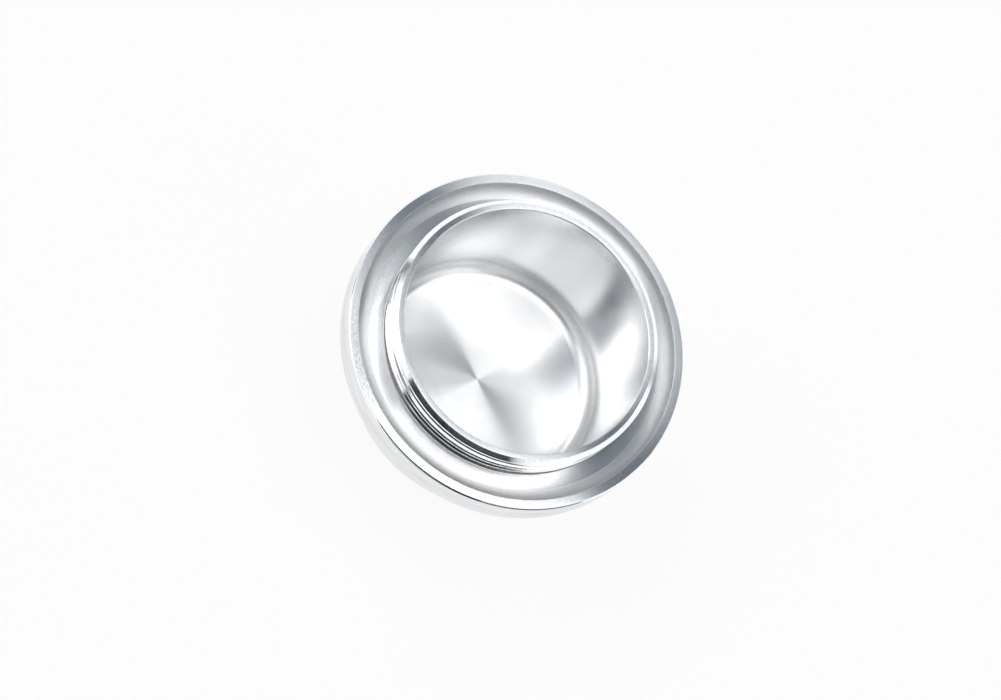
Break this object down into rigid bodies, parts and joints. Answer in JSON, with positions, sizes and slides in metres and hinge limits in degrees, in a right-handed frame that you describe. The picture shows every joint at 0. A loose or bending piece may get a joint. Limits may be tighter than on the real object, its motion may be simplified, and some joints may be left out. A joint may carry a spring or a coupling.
{
  "type": "oil filter housing cap",
  "caption": "Turned aluminium screw-in cap for an oil filter housing: deep cup, flange with a seal recess, threaded spigot at the mouth and a wrench hexagon on the closed end.",
  "frame": {"origin": "centre of the wrench hexagon's end face, on which the cap stands with its mouth up", "axes": "+Z along the turning axis, out of the mouth; +X through a corner of the hexagon"},
  "size_m": [0.082, 0.082, 0.0559],
  "materials": {
    "turned_aluminium": "bright turned, bare metal"
  },
  "bodies": {
    "root": {"filter_cap": "turned_aluminium"}
  },
  "joints": []
}
